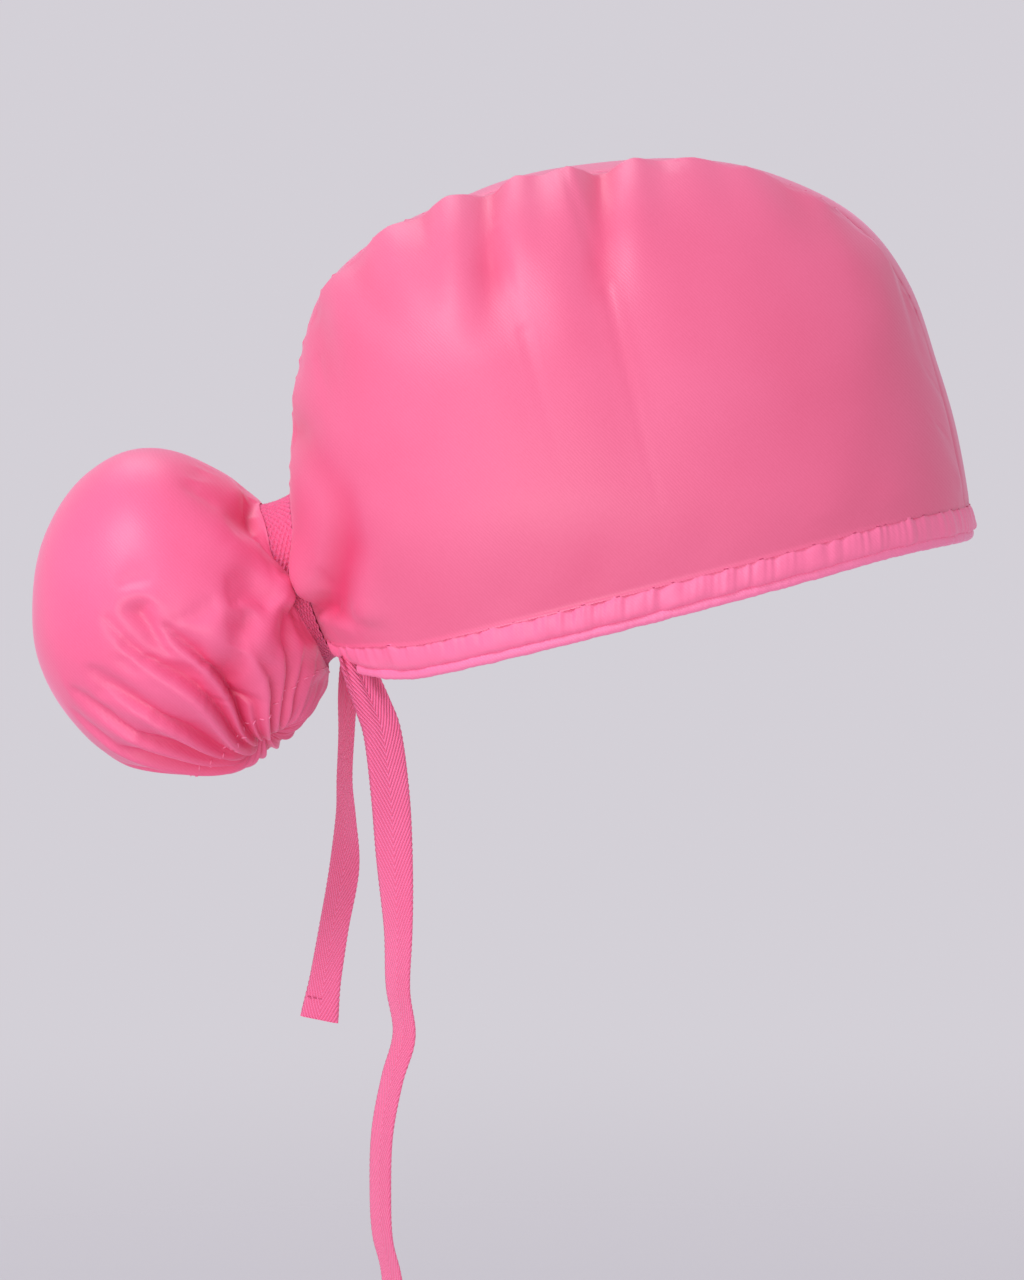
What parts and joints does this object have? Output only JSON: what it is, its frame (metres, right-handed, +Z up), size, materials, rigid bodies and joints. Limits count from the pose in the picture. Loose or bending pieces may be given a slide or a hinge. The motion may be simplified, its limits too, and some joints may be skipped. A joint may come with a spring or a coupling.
{
  "type": "scrub cap",
  "caption": "Satin-look ponytail scrub cap in its worn shape: full crown, drawstring casing, elastic collar, gathered bun pouch and hanging tape ties.",
  "frame": {"origin": "middle of the head opening, on the cap's middle plane, where a head holds it", "axes": "+X towards the wearer's face, +Y to the wearer's left, +Z up"},
  "size_m": [0.3122, 0.1796, 0.3876],
  "materials": {
    "crown_satin": "satin",
    "casing_satin": "satin",
    "pouch_satin": "satin",
    "binding_satin": "satin",
    "elastic_knit": "matte",
    "tie_tape": "matte"
  },
  "bodies": {
    "root": {"crown_top_panel": "crown_satin", "crown_side_right": "crown_satin", "crown_side_left": "crown_satin", "drawstring_casing": "casing_satin", "edge_binding": "binding_satin", "back_elastic": "elastic_knit", "bun_pouch": "pouch_satin", "tie_right": "tie_tape", "tie_left": "tie_tape"}
  },
  "joints": []
}
